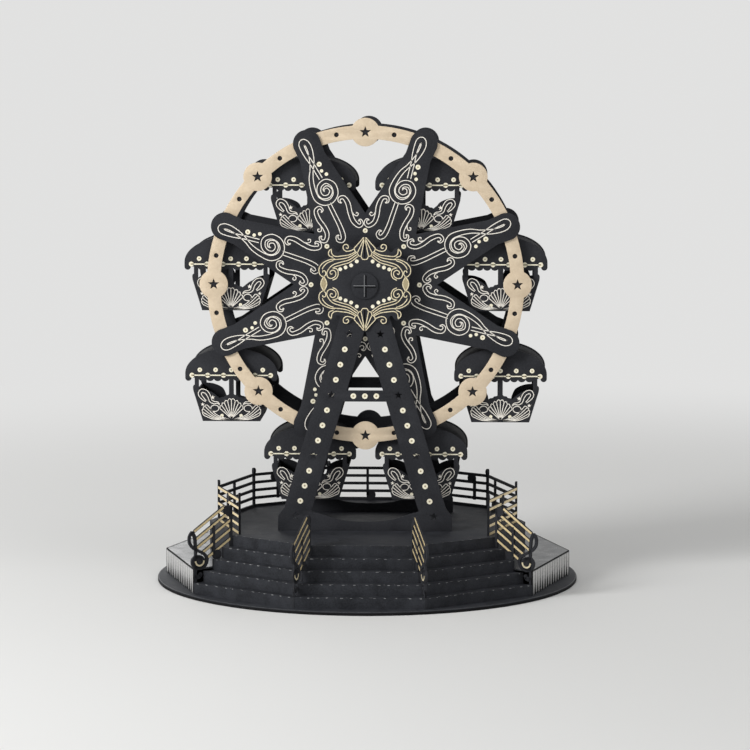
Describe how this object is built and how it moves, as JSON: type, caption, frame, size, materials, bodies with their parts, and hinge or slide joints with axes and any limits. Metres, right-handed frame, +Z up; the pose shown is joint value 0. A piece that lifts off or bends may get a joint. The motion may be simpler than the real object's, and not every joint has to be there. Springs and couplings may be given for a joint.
{
  "type": "ferris wheel toy",
  "caption": "Hand-cranked ferris wheel of cut card: a double wheel of hanging gondolas between A-frames on a stepped, fenced platform.",
  "frame": {"origin": "middle of the base disc's underside", "axes": "+Z up, -Y towards the stairs and the hub cartouche, +Y towards the crank"},
  "size_m": [0.25, 0.25, 0.2741],
  "materials": {
    "black_card": "matte charcoal card with foil print",
    "champagne_card": "satin champagne foil card",
    "stick": "black-stained round stick",
    "knob_wood": "black-stained turned wood"
  },
  "bodies": {
    "stand": {"base_disc": "black_card", "lower_terrace": "black_card", "upper_platform": "black_card", "stairs_left": "black_card", "stairs_front": "black_card", "stairs_right": "black_card", "stair_rail_1": "black_card", "stair_rail_2": "black_card", "stair_rail_3": "black_card", "stair_rail_4": "black_card", "fence_right": "black_card", "fence_rear": "black_card", "fence_left": "black_card", "front_frame": "black_card", "rear_frame": "black_card", "frame_washers": "black_card", "hub_cartouche": "black_card"},
    "wheel": {"rim_back": "black_card", "rim_face": "champagne_card", "wheel_front": "black_card", "rim_rear": "black_card", "wheel_rear": "black_card", "axle": "stick", "wheel_sleeve": "black_card", "axle_cap": "black_card", "gondola_rods": "stick", "crank_arm": "black_card"},
    "gondola_1": {"gondola_1_front": "black_card", "gondola_1_rear": "black_card", "gondola_1_roof": "black_card", "gondola_1_tub": "black_card"},
    "gondola_2": {"gondola_2_front": "black_card", "gondola_2_rear": "black_card", "gondola_2_roof": "black_card", "gondola_2_tub": "black_card"},
    "gondola_3": {"gondola_3_front": "black_card", "gondola_3_rear": "black_card", "gondola_3_roof": "black_card", "gondola_3_tub": "black_card"},
    "gondola_4": {"gondola_4_front": "black_card", "gondola_4_rear": "black_card", "gondola_4_roof": "black_card", "gondola_4_tub": "black_card"},
    "gondola_5": {"gondola_5_front": "black_card", "gondola_5_rear": "black_card", "gondola_5_roof": "black_card", "gondola_5_tub": "black_card"},
    "gondola_6": {"gondola_6_front": "black_card", "gondola_6_rear": "black_card", "gondola_6_roof": "black_card", "gondola_6_tub": "black_card"},
    "gondola_7": {"gondola_7_front": "black_card", "gondola_7_rear": "black_card", "gondola_7_roof": "black_card", "gondola_7_tub": "black_card"},
    "gondola_8": {"gondola_8_front": "black_card", "gondola_8_rear": "black_card", "gondola_8_roof": "black_card", "gondola_8_tub": "black_card"},
    "knob": {"crank_knob": "knob_wood"}
  },
  "joints": [
    {"name": "wheel_spin", "type": "hinge", "parent": "stand", "child": "wheel", "pos_m": [0, 0, 0.1774], "axis": [0, 1, 0], "continuous": true},
    {"name": "gondola_1_swing", "type": "hinge", "parent": "wheel", "child": "gondola_1", "pos_m": [0.0789, 0, 0.21008], "axis": [0, 1, 0], "continuous": true},
    {"name": "gondola_2_swing", "type": "hinge", "parent": "wheel", "child": "gondola_2", "pos_m": [0.03268, 0, 0.2563], "axis": [0, 1, 0], "continuous": true},
    {"name": "gondola_3_swing", "type": "hinge", "parent": "wheel", "child": "gondola_3", "pos_m": [-0.03268, 0, 0.2563], "axis": [0, 1, 0], "continuous": true},
    {"name": "gondola_4_swing", "type": "hinge", "parent": "wheel", "child": "gondola_4", "pos_m": [-0.0789, 0, 0.21008], "axis": [0, 1, 0], "continuous": true},
    {"name": "gondola_5_swing", "type": "hinge", "parent": "wheel", "child": "gondola_5", "pos_m": [-0.0789, 0, 0.14472], "axis": [0, 1, 0], "continuous": true},
    {"name": "gondola_6_swing", "type": "hinge", "parent": "wheel", "child": "gondola_6", "pos_m": [-0.03268, 0, 0.0985], "axis": [0, 1, 0], "continuous": true},
    {"name": "gondola_7_swing", "type": "hinge", "parent": "wheel", "child": "gondola_7", "pos_m": [0.03268, 0, 0.0985], "axis": [0, 1, 0], "continuous": true},
    {"name": "gondola_8_swing", "type": "hinge", "parent": "wheel", "child": "gondola_8", "pos_m": [0.0789, 0, 0.14472], "axis": [0, 1, 0], "continuous": true},
    {"name": "knob_spin", "type": "hinge", "parent": "wheel", "child": "knob", "pos_m": [0, 0.0452, 0.1494], "axis": [0, 1, 0], "continuous": true}
  ],
  "couplings": [
    {"joint": "gondola_1_swing", "follows": "wheel_spin", "ratio": -1},
    {"joint": "gondola_2_swing", "follows": "wheel_spin", "ratio": -1},
    {"joint": "gondola_3_swing", "follows": "wheel_spin", "ratio": -1},
    {"joint": "gondola_4_swing", "follows": "wheel_spin", "ratio": -1},
    {"joint": "gondola_5_swing", "follows": "wheel_spin", "ratio": -1},
    {"joint": "gondola_6_swing", "follows": "wheel_spin", "ratio": -1},
    {"joint": "gondola_7_swing", "follows": "wheel_spin", "ratio": -1},
    {"joint": "gondola_8_swing", "follows": "wheel_spin", "ratio": -1}
  ]
}
